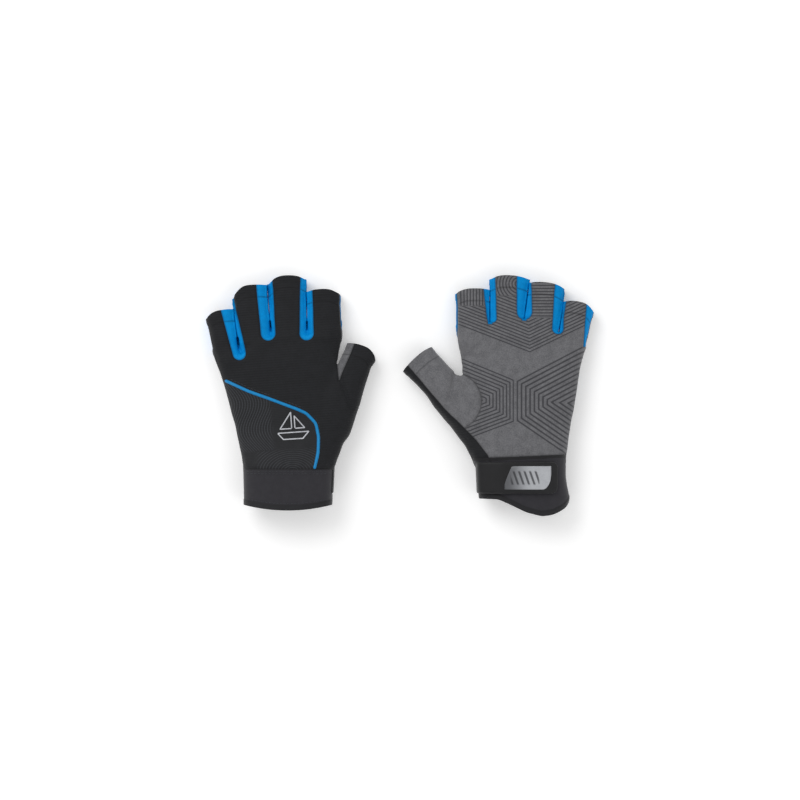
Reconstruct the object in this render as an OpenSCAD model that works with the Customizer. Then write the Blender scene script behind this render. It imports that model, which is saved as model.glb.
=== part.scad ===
// A pair of short-finger sailing gloves lying on a table. Glove a lies back up, glove b palm up.
// Both are sewn from the same panels, so every module takes the glove's number: 0 for a, 1 for b.
// A glove is drawn back up, with +X towards its thumb and +Y towards its fingers. Its cuff's hem
// is at Y 0, and place() sets it on the table. All sizes are in millimetres.

/* [Fabric] */
// Thickness of the sewn panels
wall = 1.6; // [1.2:0.1:2.2]
// Thickness of the neoprene strap
strap_wall = 2.2; // [1.6:0.1:2.2]
// Diameter of the piping cord
piping_d = 2.2; // [1.4:0.2:3]

/* [Hand] */
// Thickness of the glove at the wrist
wrist_thickness = 32; // [28:1:36]
// Thickness of the glove over the middle of the palm
palm_thickness = 27; // [24:1:30]
// Thickness of the glove at the finger roots
root_thickness = 21; // [19:1:24]
// Angle that the hand of glove a leans to the little-finger side
lean_a = 4; // [0:1:6]

/* [Fingers] */
// Thickness of a finger stall at its open end
tip_thickness = 19; // [17:1:21]
// How far the sides of a stall's opening lie behind its middle
tip_curve = 6; // [0:1:8]

/* [Thumb] */
// Radius of the round root that the thumb stall swings on
thumb_root_r = 15.5; // [14:0.5:17]
// Half width of the thumb stall's opening
thumb_half = 12; // [11:0.5:13]
// Thickness of the thumb stall at its open end
thumb_thickness = 20; // [18:1:22]
// Angle of glove a's thumb from the finger direction
thumb_angle_a = 24; // [22:1:30]
// Angle of glove b's thumb from the finger direction
thumb_angle_b = 42.5; // [36:0.5:46]
// Distance from the thumb's pivot to the end of glove a's thumb stall
thumb_reach_a = 43; // [38:1:45]
// Distance from the thumb's pivot to the end of glove b's thumb stall
thumb_reach_b = 46; // [42:1:49]

/* [Cuff] */
// Width of the cuff
cuff_width = 67; // [62:1:72]
// Height of the cuff on the back of the hand
cuff_back = 33; // [30:1:35]
// Height of the binding round the cuff's hem
binding_h = 3.2; // [2.4:0.2:4]
// Length of the pull tab below the hem on the palm side
pull_tab = 5; // [0:1:8]
// Width of the strap along the arm
strap_width = 24; // [20:1:26]

/* [Pair] */
// Distance between the middles of the two cuffs
pair_distance = 179; // [172:1:220]

/* [Hidden] */
$fn = 32;
FINGERS = ["index", "middle", "ring", "little"];
GLOVES = ["glove_a", "glove_b"];
STRIPS = ["back", "palm", "thumbside_wall", "outer_wall"];
HAND_PARTS = ["back_panel", "wrist_panel", "piping", "emblem", "palm_panel",
              "cuff_band", "cuff_binding", "cuff_loop_patch"];
THUMB_PARTS = ["thumb_back", "thumb_palm"];
STRAP_PARTS = ["strap_anchor", "strap", "strap_hook_patch", "strap_badge"];
NODES = [for (g = GLOVES) each concat(
    [for (p = HAND_PARTS) str(g, "_", p)],
    [for (f = FINGERS) for (s = STRIPS) str(g, "_", f, "_", s)],
    [for (p = THUMB_PARTS) str(g, "_", p)],
    [for (p = STRAP_PARTS) str(g, "_", p)])];
node = "all";

// Colours of the fabrics
BLACK = [0.09, 0.09, 0.1];
CHARCOAL = [0.17, 0.17, 0.19];
SUEDE = [0.36, 0.36, 0.38];
BLUE = [0.02, 0.42, 0.8];
SILVER = [0.72, 0.72, 0.74];

// Each finger stall: its root's middle [x, y], half width, length and lean towards the thumb
finger_root = [[36.4, 144], [9.4, 147], [-17.6, 144], [-41.4, 129]];
finger_half = [12.8, 13.7, 12.7, 10.7];
finger_length = [25, 33, 30, 30];
finger_lean = [2, -1, -5, -12];

joint_gap = 0.5;      // between a swinging stall and the hand
section_power = 2.6;  // of the superellipse that the sections follow
flat_share = 1.03;    // how much of a section's top and bottom the table presses flat
strap_lift = 4.1;     // glove a's wrist lies on its strap, this far off the table
height = wrist_thickness;   // of the block that glove b is turned over in
hand_start = cuff_back + 0.2;
thumb_pivot = [[44.5, 80], [48.7, 81.3]];
thumb_angle = [thumb_angle_a, thumb_angle_b];
thumb_closing = [0, 12];   // how far each thumb can swing in towards the hand
thumb_reach = [thumb_reach_a, thumb_reach_b];
lean_centre = [0, hand_start];
lean_end = 60;        // above this the whole hand leans

// The hand's plan: [y, x] along the thumb side and along the little-finger side, and [y, half thickness]
thumb_side = [[0, cuff_width / 2], [hand_start, 35], [64, 52], [104, 46.5], [165, 50]];
outer_side = [[0, -cuff_width / 2], [hand_start, -34], [66, -38], [97, -45], [125, -51], [155, -58]];
half_table = [[0, wrist_thickness / 2], [hand_start, wrist_thickness / 2],
              [64, palm_thickness / 2], [110, palm_thickness / 2 - 0.5], [150, root_thickness / 2]];
// How far the table side of each glove's hand stands off the table: glove b lies on its piping
lift_tables = [[[hand_start, strap_lift], [lean_end, 0]],
               [[hand_start, 0.4], [38, piping_d / 2], [108, piping_d / 2], [116, 0]]];
// The piping's seam climbs from the cuff to its corner, as [y, x], and then crosses the back, as [x, y].
// Above the corner the first table only spaces the columns of the back panel.
seam_corner = 69;
seam_climb = [[hand_start, 20.6], [43.4, 23.4], [55.4, 25], [64.8, 23.4], [seam_corner, 20.4],
              [76, 17], [84, 14], [100, 16], [150, 18]];
seam_cross = [[20.4, seam_corner], [17.5, 72], [11, 75.8], [-10.8, 85.8], [-26, 92.4], [-46.4, 103.6]];
// The end of the hand below each finger's root, as [x, y]
root_step = [-30.3, -28.9];   // the step beside the little finger's root
root_table = [[-54, 123.6], [root_step[0], 128.4], [root_step[1], 142.4], [-6, 144.6], [-5, 146.2],
              [22, 146.7], [23, 144], [50, 143]];
// The cuff's top edge as [angle, y], and its hem as [angle, y]
cuff_top_table = [[-90, 40.5], [-30, 39], [0, cuff_back], [180, cuff_back], [200, 39], [270, 40.5]];
hem_table = [[-90, 0], [-70, 4], [-45, 5], [0, 0], [180, 0], [200, 4], [215, -1], [235, -pull_tab],
             [255, -pull_tab * 0.6], [270, 0]];

function lerp(a, b, t) = a + (b - a) * t;
function ease(t) = let (c = min(1, max(0, t))) c * c * (3 - 2 * c);
function turned(p, angle) = [p[0] * cos(angle) - p[1] * sin(angle), p[0] * sin(angle) + p[1] * cos(angle)];
// The superellipse's share of the half width at cosine c, and of the half thickness at sine s
function across(c) = sign(c) * pow(abs(c), 2 / section_power);
function upright(s) = sign(s) * min(1, flat_share * pow(abs(s), 2 / section_power));
function half_at(y) = lookup(y, half_table);
// The height of the middle of a section of half thickness h, which stands off the table by lift
function middle_z(h, lift, g) = g == 0 ? h + lift : height - h - lift;
function lean(g) = g == 0 ? lean_a : 0;
function leant(p, g) =
    let (share = ease((p[1] - hand_start) / (lean_end - hand_start)),
         q = turned([p[0], p[1]] - lean_centre, lean(g) * share) + lean_centre)
    [q[0], q[1], p[2]];

// A closed sheet between two grids of points, each a list of rows. The rows run anticlockwise round
// the outer face, seen from its front end, and ring closes them. Only the cells that kept() picks
// are made, with walls round them, so that several panels can share one pair of grids.
module sheet(outer, inner, ring = false, kept = function (i, j) true) {
    cols = len(outer[0]);
    n = len(outer) * cols;
    last = ring ? cols - 1 : cols - 2;
    function at(i, j) = j * cols + (i % cols);
    function has(i, j) = j >= 0 && j < len(outer) - 1 && (ring || (i >= 0 && i <= last))
        && kept((i + cols) % cols, j);
    function quad(p, q, r, s) = [[p, q, r], [p, r, s]];
    faces = [for (j = [0:len(outer) - 2], i = [0:last]) if (has(i, j))
        let (a = at(i, j), b = at(i + 1, j), c = at(i + 1, j + 1), d = at(i, j + 1))
        each concat(quad(a, b, c, d), quad(b + n, a + n, d + n, c + n),
                    has(i, j - 1) ? [] : quad(b, a, a + n, b + n),
                    has(i, j + 1) ? [] : quad(d, c, c + n, d + n),
                    has(i - 1, j) ? [] : quad(a, d, d + n, a + n),
                    has(i + 1, j) ? [] : quad(c, b, b + n, c + n))];
    polyhedron(concat([for (r = outer) each r], [for (r = inner) each r]), faces, convexity = 8);
}

// Sets a glove on the table beside the other one, with the middle of the pair at the origin
module place(g) {
    translate(-pair_middle)
        if (g == 0)
            translate([-pair_distance / 2, 0, 0]) children();
        else
            translate([pair_distance / 2, 0, height]) rotate([0, 180, 0]) children();
}

// A point of the hand's surface at an angle round it, with 0 at the thumb side and 90 on the back
function hand_point(a, y, inset, g) =
    let (left = lookup(y, outer_side), right = lookup(y, thumb_side), h = half_at(y))
    leant([(left + right) / 2 + ((right - left) / 2 - inset) * across(cos(a)), y,
           middle_z(h, lookup(y, lift_tables[g]), g) + (h - inset) * upright(sin(a))], g);

// The angle round the back at which the surface is at x
function angle_at(x, y) =
    let (left = lookup(y, outer_side), right = lookup(y, thumb_side),
         share = min(1, max(-1, (x - (left + right) / 2) / ((right - left) / 2))))
    acos(sign(share) * pow(abs(share), section_power / 2));

// The angle at which the thumb's cut opens the hand at y: the cut goes round the thumb's root and
// then along the inner side of the stall, where the stall is swung in as far as it goes
function thumb_cut(y, g) =
    let (r = thumb_root_r + joint_gap, d = y - thumb_pivot[g][1], way = thumb_angle[g] - thumb_closing[g],
         x = d < r * sin(way) ? sqrt(max(0, r * r - d * d)) : r * cos(way) - (d - r * sin(way)) * tan(way))
    d < -r ? 0 : angle_at(thumb_pivot[g][0] - x, y);

// Where the hand ends below the fingers, at the same angle
root_section = 135;
function root_y(a) =
    let (left = lookup(root_section, outer_side), right = lookup(root_section, thumb_side))
    lookup((left + right) / 2 + (right - left) / 2 * across(cos(a)), root_table) - joint_gap;

// The rows of the hand's panels, which bunch up where the thumb's cut starts; the seam's corner is one
hand_rows = [hand_start, 44, 55, 62, 64.6, 66.6, seam_corner, 74, 80, 88, 95, 101, 106, 110, 114, 118];
top_row = hand_rows[len(hand_rows) - 1];
corner_row = 6;
cross_table = [for (p = seam_cross) [angle_at(p[0], p[1]), p[1]]];
// The columns, as shares from the thumb side to the seam and then on to the outer side
thumb_shares = [0, 0.3, 0.6, 0.8];
function seam_angle(y) = angle_at(lookup(y, seam_climb), y);
function step_share(x) =
    let (first = seam_angle(root_section)) (angle_at(x, root_section) - first) / (180 - first);
outer_shares = [0, 0.05, 0.12, 0.2, 0.3, step_share(root_step[1]), step_share(root_step[0]),
                0.55, 0.68, 0.79, 0.88, 0.95, 1];
back_count = len(thumb_shares) + len(outer_shares);

function back_angle(i, y, g) =
    i < len(thumb_shares) ? lerp(thumb_cut(y, g), seam_angle(y), thumb_shares[i])
                          : lerp(seam_angle(y), 180, outer_shares[i - len(thumb_shares)]);

// The [angle, y] of a row: j counts on past the list to halfway and all the way to the finger roots
function hand_place(j, a, y) = [a, lerp(y, root_y(a), max(0, j - len(hand_rows) + 1) / 2)];

// The [angle, y] of the back's column i and row j
function back_place(i, j, g) =
    let (row = hand_rows[min(j, len(hand_rows) - 1)], a = back_angle(i, row, g),
         crossing = i < len(thumb_shares) ? seam_corner : lookup(back_angle(i, seam_corner, g), cross_table))
    hand_place(j, a, row < seam_corner
        ? lerp(hand_start, crossing, (row - hand_start) / (seam_corner - hand_start))
        : lerp(crossing, top_row, (row - seam_corner) / (top_row - seam_corner)));

module back(kept, g) {
    function rows(inset) = [for (j = [0:len(hand_rows) + 1]) [for (i = [0:back_count - 1])
        let (p = back_place(i, j, g)) hand_point(p[0], p[1], inset, g)]];
    sheet(rows(0), rows(wall), kept = kept);
}

// The upper panel of the back, from the thumb round the piping's seam to the finger roots
module back_panel(g) {
    color(BLACK) back(function (i, j) i < len(thumb_shares) || j >= corner_row, g);
}

// The printed panel between the piping and the cuff
module wrist_panel(g) {
    color(CHARCOAL) back(function (i, j) i >= len(thumb_shares) && j < corner_row, g);
}

// The suede palm, cut round the thumb's root. Its columns beyond the bend make room for the thumb.
module palm_panel(g) {
    side_gap = 0.5;   // degrees left for the seams along the sides
    step_columns = [for (x = root_step) 360 - angle_at(x, root_section)];
    columns = [180 + side_gap, 193, 206, 219, 230, each step_columns, 255, 268, 282,
               296, 309, 322, 335, 348, 360 - side_gap];
    bend = 9;
    start_rows = 50;
    function place(i, j) =
        let (row = hand_rows[min(j, len(hand_rows) - 1)], even = columns[i],
             room = (columns[bend] + thumb_cut(row, g) - 360) / (columns[bend] - 360),
             start = cuff_top(even) + 0.2)
        hand_place(j, i < bend ? even : lerp(columns[bend], even, room), row > start_rows ? row
            : lerp(start, start_rows, (row - hand_start) / (start_rows - hand_start)));
    function rows(inset) = [for (j = [0:len(hand_rows) + 1]) [for (i = [0:len(columns) - 1])
        let (p = place(i, j)) hand_point(p[0], p[1], inset, g)]];
    color(SUEDE) sheet(rows(0), rows(wall));
}

// The cord sewn into the seam between the two back panels, sunk halfway into both
module piping(g) {
    r = piping_d / 2;
    sides = 8;
    climb = [for (y = [hand_start + 0.5, 39, 45, 51, 57, 62, 66, seam_corner]) [seam_angle(y), y]];
    crossing = [for (share = [0.04, 0.08, 0.14, 0.22, 0.32, 0.44, 0.56, 0.68, 0.79, 0.88, 0.95])
        let (a = lerp(seam_angle(seam_corner), 180, share)) [a, lookup(a, cross_table)]];
    path = [for (q = concat(climb, crossing)) hand_point(q[0], q[1], 0, g)];
    n = len(path);
    rings = [for (k = [0:n - 1])
        let (d = path[min(k + 1, n - 1)] - path[max(k - 1, 0)], along = d / norm(d),
             side = cross(along, [0, 0, 1]) / norm(cross(along, [0, 0, 1])), up = cross(side, along))
        [for (i = [0:sides - 1]) path[k] + r * (cos(360 * i / sides) * side + sin(360 * i / sides) * up)]];
    skin = [for (j = [0:n - 2], i = [0:sides - 1])
        let (a = j * sides + i, b = j * sides + (i + 1) % sides)
        each [[a, b + sides, b], [a, a + sides, b + sides]]];
    color(BLUE) polyhedron([for (ring = rings) each ring],
        concat(skin, [[for (i = [0:sides - 1]) i]], [[for (i = [sides - 1:-1:0]) (n - 1) * sides + i]]),
        convexity = 6);
}

// A plain boat with two sails, as outlines raised on the wrist panel
emblem_spot = [6, 57];
emblem_lines = [[[-1, 4], [-1, 17], [-10, 4]], [[1.5, 4], [1.5, 14], [9, 4]],
                [[-12, 1], [12, 1], [7, -4], [-8, -4]]];
emblem_line = 0.9;

module emblem(g) {
    color(SILVER) for (shape = emblem_lines) for (i = [0:len(shape) - 1])
        surface_stroke(emblem_spot + shape[i], emblem_spot + shape[(i + 1) % len(shape)], emblem_line, g);
}

// A thin line on the back of the hand from p to q
module surface_stroke(p, q, line, g) {
    along = (q - p) / norm(q - p);
    left = turned(along, 90);
    function rows(proud) = [for (t = [0:0.25:1]) [for (way = [-1, 1])
        let (spot = lerp(p - along * line / 2, q + along * line / 2, t) + way * left * line / 2,
             foot = hand_point(angle_at(spot[0], spot[1]), spot[1], 0, g))
        foot + [0, 0, proud]]];
    sheet(rows(0.45), rows(0.05));
}

// A point of finger k's stall, at an angle round it and a distance out from its root
function stall_point(k, a, s, inset, g) =
    let (t = s / finger_length[k], h = lerp(root_thickness, tip_thickness, t) / 2,
         w = finger_half[k] - 0.4 * t - inset,
         root = finger_root[k], out = turned([0, 1], -finger_lean[k]), side = turned([1, 0], -finger_lean[k]),
         p = root + s * out + w * across(cos(a)) * side)
    leant([p[0], p[1], middle_z(h, 0, g) + (h - inset) * upright(sin(a))], g);

function stall_end(k, a) = finger_length[k] - tip_curve * pow(cos(a), 2);

// The angles between which each strip of a stall runs. The back strips sit to the outer side
// of their stall, so the blue walls show beside them, on the thumb side from above and on the outer
// side from below
back_from = [25, 60, 78, 86];
back_to = 168;
palm_from = [215, 254, 242, 251];
palm_to = [342, 348, 348, 350];
function strip_from(k) = [back_from[k], palm_from[k], palm_to[k] - 360, back_to];
function strip_to(k) = [back_to, palm_to[k], back_from[k], palm_from[k]];
strip_colour = [BLACK, SUEDE, BLUE, BLUE];

module finger_strip(k, strip, g) {
    angles = [for (i = [0:8]) lerp(strip_from(k)[strip], strip_to(k)[strip], i / 8)];
    function rows(inset) = [for (t = [0, 0.5, 1]) [for (a = angles)
        stall_point(k, a, lerp(joint_gap / 2, stall_end(k, a), t), inset, g)]];
    color(strip_colour[strip]) sheet(rows(0), rows(wall));
}

// How far a pillow of half thickness h stands at share p of its half width
function pillow(p, h) =
    abs(p) >= 1 ? 0 : h * min(1, flat_share * pow(1 - pow(abs(p), section_power), 1 / section_power));

// A point of the thumb stall: p is the share across it, s the distance out from its pivot, and
// half is 1 for its back and -1 for its palm. Over the hand it keeps the hand's own height.
function thumb_point(p, s, inset, half, g) =
    let (out = turned([0, 1], -thumb_angle[g]), side = turned([1, 0], -thumb_angle[g]),
         t = max(0, s) / thumb_reach[g],
         width = s < 0 ? sqrt(pow(thumb_root_r, 2) - s * s) : lerp(thumb_root_r, thumb_half, ease(t)),
         spot = thumb_pivot[g] + s * out + (width - inset) * p * side,
         left = lookup(spot[1], outer_side), right = lookup(spot[1], thumb_side),
         on_hand = pillow((spot[0] - (left + right) / 2) / ((right - left) / 2 - inset),
                          half_at(spot[1]) - inset),
         h = lerp(half_at(thumb_pivot[g][1]), thumb_thickness / 2, t),
         stands = max(on_hand, pillow(p, h - inset)))
    leant([spot[0], spot[1], middle_z(h, 0, g) + half * stands], g);

module thumb_panel(half, g) {
    shares = [for (p = [-1, -0.98, -0.9, -0.7, -0.4, 0, 0.4, 0.7, 0.9, 0.98, 1]) -half * p];
    root_steps = [for (t = [-0.995, -0.9, -0.7, -0.4]) t * thumb_root_r];
    stall_steps = [0, 0.15, 0.3, 0.5, 0.7, 0.85, 1];
    function step(j, p) = j < len(root_steps) ? root_steps[j]
        : stall_steps[j - len(root_steps)] * (thumb_reach[g] - tip_curve * p * p);
    function rows(inset) = [for (j = [0:len(root_steps) + len(stall_steps) - 1]) [for (p = shares)
        thumb_point(p, step(j, p), inset, half, g)]];
    color(half > 0 ? BLACK : SUEDE) sheet(rows(0), rows(wall));
}

// The cuff is open under the strap, between these angles on the palm side
slit_from = 268;
slit_to = 274;
cuff_steps = 36;
cuff_angles = [for (i = [0:cuff_steps]) lerp(slit_to - 360, slit_from, i / cuff_steps)];

// A point of the cuff at an angle round it, standing proud of its outer face
function cuff_point(a, y, proud, g) =
    let (t = y / cuff_back, w = lerp(cuff_width / 2, 34.4, t), h = wrist_thickness / 2,
         mid = middle_z(h, g == 0 ? strap_lift : 0, g))
    [0.5 * t + (w + proud) * across(cos(a)), y, mid + (h + proud) * upright(sin(a))];

// A piece of the cuff's shape between two angles, two edges low(a) and high(a), and two heights above
// its outer face
module cuff_piece(from, to, low, high, under, over, g, steps = 8) {
    function rows(proud) = [for (t = [0, 0.5, 1]) [for (i = [0:steps])
        let (a = lerp(from, to, i / steps)) cuff_point(a, lerp(low(a), high(a), t), proud, g)]];
    sheet(rows(over), rows(under));
}

function round_lookup(a, table) = lookup(a > 270 ? a - 360 : a, table);
hem = function (a) round_lookup(a, hem_table);
binding_top = function (a) hem(a) + binding_h - 0.1;
band_low = function (a) hem(a) + binding_h;
cuff_top = function (a) round_lookup(a, cuff_top_table);

module cuff_band(g) {
    color(CHARCOAL)
        cuff_piece(slit_to - 360, slit_from, band_low, cuff_top, -wall, 0, g, steps = cuff_steps);
}

module cuff_binding(g) {
    proud = g == 0 ? 0.4 : 0;
    color(BLACK) cuff_piece(slit_to - 360, slit_from, hem, binding_top, -wall, proud, g, steps = cuff_steps);
}

strap_y = 13;                // the strap's lower edge
strap_from = 224;            // its free end, which is rounded
strap_to = 356;              // its root, on the thumb side
strap_under = 1.3;           // its inner face, above the cuff
strap_over = strap_under + strap_wall;
strap_low = function (a) strap_y + 6 * pow(max(0, (strap_from + 10 - a) / 10), 2);
strap_high = function (a) min(cuff_top(a) - 0.5,
    strap_y + strap_width - 4 * pow(max(0, (strap_from + 8 - a) / 8), 2));
patch_from = 240;
patch_to = 262;
patch_margin = 5;
patch_low = function (a) strap_y + patch_margin;
patch_high = function (a) strap_y + strap_width - patch_margin;

// The strap's sewn end, fixed to the cuff
module strap_anchor(g) {
    high = function (a) cuff_back - 0.3;
    color(BLACK) cuff_piece(357.6, 374, strap_low, high, 0.05, strap_over, g);
}

module strap(g) {
    color(BLACK)
        cuff_piece(strap_from, strap_to, strap_low, strap_high, strap_under, strap_over, g, steps = 16);
}

module cuff_loop_patch(g) {
    color(BLACK) cuff_piece(patch_from, patch_to, patch_low, patch_high, 0.05, 0.5, g);
}

module strap_hook_patch(g) {
    color(BLACK) cuff_piece(patch_from, patch_to, patch_low, patch_high, 0.8, strap_under - 0.2, g);
}

// The printed badge near the free end of the strap, slanted at one end and rounded at the other
badge_from = 238;
badge_to = 284;

module strap_badge(g) {
    low = function (a) strap_y + 3 + 13 * pow(max(0, (badge_from + 11 - a) / 11), 2);
    high = function (a) strap_y + strap_width - 3 - 13 * max(0, (a - badge_to + 8) / 8);
    color(SILVER) cuff_piece(badge_from, badge_to, low, high, strap_over + 0.02, strap_over + 0.45, g);
}

// The middle of the pair's outline, which the outer corners of the stalls and the pull tab bound
stall_rim = [for (g = [0, 1]) [for (k = [0:3], a = [-180:10:170], s = [joint_gap / 2, stall_end(k, a)])
    stall_point(k, a, s, 0, g)]];
stall_tops = [for (rim = stall_rim) max([for (p = rim) p[1]])];
pair_middle = [(max([for (p = stall_rim[1]) -p[0]]) + min([for (p = stall_rim[0]) p[0]])) / 2,
               (max(stall_tops) + min([for (a = cuff_angles) hem(a)])) / 2, 0];

// Whether the node being drawn is this one
function wanted(name) = node == "all" || node == name;

for (g = [0, 1]) place(g) {
    if (wanted(str(GLOVES[g], "_back_panel"))) back_panel(g);
    if (wanted(str(GLOVES[g], "_wrist_panel"))) wrist_panel(g);
    if (wanted(str(GLOVES[g], "_piping"))) piping(g);
    if (wanted(str(GLOVES[g], "_emblem"))) emblem(g);
    if (wanted(str(GLOVES[g], "_palm_panel"))) palm_panel(g);
    if (wanted(str(GLOVES[g], "_cuff_band"))) cuff_band(g);
    if (wanted(str(GLOVES[g], "_cuff_binding"))) cuff_binding(g);
    if (wanted(str(GLOVES[g], "_cuff_loop_patch"))) cuff_loop_patch(g);
    if (wanted(str(GLOVES[g], "_thumb_back"))) thumb_panel(1, g);
    if (wanted(str(GLOVES[g], "_thumb_palm"))) thumb_panel(-1, g);
    if (wanted(str(GLOVES[g], "_strap_anchor"))) strap_anchor(g);
    if (wanted(str(GLOVES[g], "_strap"))) strap(g);
    if (wanted(str(GLOVES[g], "_strap_hook_patch"))) strap_hook_patch(g);
    if (wanted(str(GLOVES[g], "_strap_badge"))) strap_badge(g);
    for (k = [0:3]) for (s = [0:3])
        if (wanted(str(GLOVES[g], "_", FINGERS[k], "_", STRIPS[s]))) finger_strip(k, s, g);
}
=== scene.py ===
"""The looks of a pair of short-finger sailing gloves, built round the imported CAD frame.

Both gloves are sewn from one left-hand pattern: glove_a lies back up and glove_b palm up. Each
glove's skin is one smooth field, meshed once and then cut along its seams into the sewn panels, so
that neighbouring panels meet without a gap. The pattern is laid out in the glove's own frame, in
millimetres: back up, +X to the thumb, +Y to the fingers, with the cuff's hem near Y 0.
"""

import math

import bpy
import numpy as np
import openvdb
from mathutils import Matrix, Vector


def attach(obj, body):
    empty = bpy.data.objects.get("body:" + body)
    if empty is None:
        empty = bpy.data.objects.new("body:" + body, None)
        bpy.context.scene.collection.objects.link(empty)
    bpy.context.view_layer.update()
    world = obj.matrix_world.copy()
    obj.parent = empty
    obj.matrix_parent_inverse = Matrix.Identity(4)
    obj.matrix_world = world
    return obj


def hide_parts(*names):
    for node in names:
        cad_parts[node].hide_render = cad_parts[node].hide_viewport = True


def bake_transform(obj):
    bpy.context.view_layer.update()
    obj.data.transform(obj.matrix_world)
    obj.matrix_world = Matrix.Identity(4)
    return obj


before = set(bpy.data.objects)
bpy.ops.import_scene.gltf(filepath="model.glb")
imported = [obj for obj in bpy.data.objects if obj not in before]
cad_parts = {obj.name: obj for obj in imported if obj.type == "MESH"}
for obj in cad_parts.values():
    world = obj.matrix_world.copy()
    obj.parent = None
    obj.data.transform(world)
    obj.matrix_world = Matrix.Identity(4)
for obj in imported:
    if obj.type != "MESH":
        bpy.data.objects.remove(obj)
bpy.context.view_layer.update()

# -------------------- sizes, in mm and degrees

GLOVES = ("glove_a", "glove_b")
FINGERS = ("index", "middle", "ring", "little")
FABRIC = 1.5             # thickness of a sewn panel
STEP = 0.7               # of the grid that the skin is meshed from, between these two corners
GRID_LOW = (-66, -13, -4)
GRID_HIGH = (99, 188, 40)
OPEN_END = -11.5         # the Y where the field is closed off, below every hem
HEIGHT = 32.0            # of the block that glove_b is turned over in
PAIR_HALF = 89.5         # from the middle of the pair to each glove's own origin
PAIR_MIDDLE = (-4.016, 87.862)
LEAN = (4.0, 0.0)        # of each glove's hand towards the other side of its thumb
LEAN_FROM, LEAN_TO = 33.2, 60.0

# The plan of each hand as (y, x), which the two gloves share but for how they lie
THUMB_SIDE = ([(0, 33.5), (33.2, 35), (64, 51), (104, 44.5), (110, 43.2), (117, 44.2), (126, 46.8),
               (136, 48.4), (165, 49)],
              [(0, 31), (9, 31.8), (33.2, 34.3), (64, 51), (104, 44.2), (112, 44.4), (130, 47.5),
               (150, 49.6)])
OUTER_SIDE = ([(0, -33.8), (33.2, -34.6), (66, -38), (97, -44.4), (108.7, -46.6), (127, -50.6),
               (155, -54)],
              [(-8, -30), (0, -35), (9, -38), (15, -36.6), (24, -34.8), (40, -34.8), (63.7, -38),
               (90, -43), (108, -45.6), (126, -48), (155, -52)])
HALF_THICKNESS = [(0, 16), (33.2, 16), (64, 13.5), (110, 13), (150, 10.4), (180, 9.5)]
LIFT = ([(33.2, 4.1), (60, 0)], [(33, 0), (38, 1.1), (108, 1.1), (116, 0)])
HAND_POWER, FINGER_POWER, THUMB_POWER = 2.6, 2.3, 2.4   # of each section, from 2 round to boxy
MELT = 5.0               # how far from where two tubes meet they run smoothly together
BACK_CROTCH = [(-54, 118), (-31.6, 121), (-20, 128), (-5, 134.5), (22, 132.5), (36, 136), (50, 136)]
PALM_CROTCH = [(-54, 128), (-30, 136), (-18, 143), (-5, 147), (22, 144), (50, 142)]
ROOT_CUT = [(-54, 127.5), (-31, 138.5), (-18, 147), (-5, 150), (9, 150), (22, 148), (50, 146)]

# Each stall, index to little, on each glove: its root, its half widths there and at its tip, its
# length, its lean, and how far its end curves back on its outer side and on its thumb side
FINGER_ROOT = (((35.1, 144), (8, 147), (-19.5, 144), (-41.2, 129)),
               ((36.3, 144), (10.4, 147), (-16.5, 144), (-38.9, 129)))
FINGER_HALF = (((14, 13.5), (15.4, 14.2), (14.5, 13.9), (10.7, 11.8)),
               ((13.6, 13.8), (14.4, 15.9), (15.3, 14.4), (11.3, 12.6)))
FINGER_LENGTH = ((24, 33.4, 31, 28.3), (26.6, 33.8, 31.4, 32))
FINGER_LEAN = ((1.8, 2, -0.3, -6.5), (0.8, -3.6, -6, -12))
FINGER_CURVE = (((2.5, 6), (6.3, 3.7), (10, 1.3), (5.5, 1.5)),
                ((1.5, 4.5), (2.8, 5), (3.6, 2.4), (6, 3)))
FINGER_BACK = 28            # how far a stall's tube runs back into the hand
FINGER_THICKNESS = ((-FINGER_BACK, -13, 0, 33), (8, 11.2, 10.4, 9.6))   # half of it, out along the stall
OVERRUN = 4                 # how far a stall is meshed past its hem, where it is cut
SLITS = (((22.2, 145, 3.2), (-6.2, 145.5, -1.6), (-32.2, 136, -4.6)),   # x, y and lean
         ((23.6, 145, 0.3), (-3.2, 150, -8), (-29.2, 136, -10)))
SLIT_HALF = 0.55
INDEX_WALL = (48.4, 49, 127)   # where its free wall starts: x on the back, x on the palm, y
LITTLE_WALL = ((125.5, 160), (-48.5, -50.7))   # its free wall's edge on the palm: y, x
FREE_SIDE = (1, 0, 0, -1)   # the side of each stall that has no neighbour
ROOT_NARROWING = 0.15       # of half a stall where it runs on into the hand, per mm

THUMB_PIVOT = ((44.5, 80), (48.7, 81.3))
THUMB_ANGLE = (24, 42.5)
THUMB_REACH = (46.5, 48.5)
THUMB_BACK = 26            # how far its tube runs back into the hand
THUMB_ROOT_R = 15.5
THUMB_THICKNESS = (13.3, 10)   # half of it, at the root and at the tip
THUMB_LIFT = (0, 1.1)      # of its root
THUMB_TAPER = (4.5, 0.6)   # how much closer to its axis the stall's inner side comes by its tip
# How far each thumb's outer side lies from its axis, as (out along it, across it)
THUMB_OUTER = ([(-30, 13.6), (-7, 13.9), (4, 13.9), (19, 12.4), (33, 12), (40, 14.1), (48, 14)],
               [(-30, 15), (-2, 15.3), (11, 14.6), (21, 12.5), (33, 12.8), (48, 13.8)])
THUMB_CURVE = ((2.5, 8), (2.5, 1.5))   # how far the end curves back on its inner and outer side
# Where the suede ends along each side of a thumb: the place across it at the pivot, change per mm
SUEDE_OUTER = (10.1, -0.045)
SUEDE_INNER = (-8.5, 0.055)
THUMB_SEAM = ((48, 82, 20), (52.6, 83.6, 22.2))   # the round seam at its root: middle and radius
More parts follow.
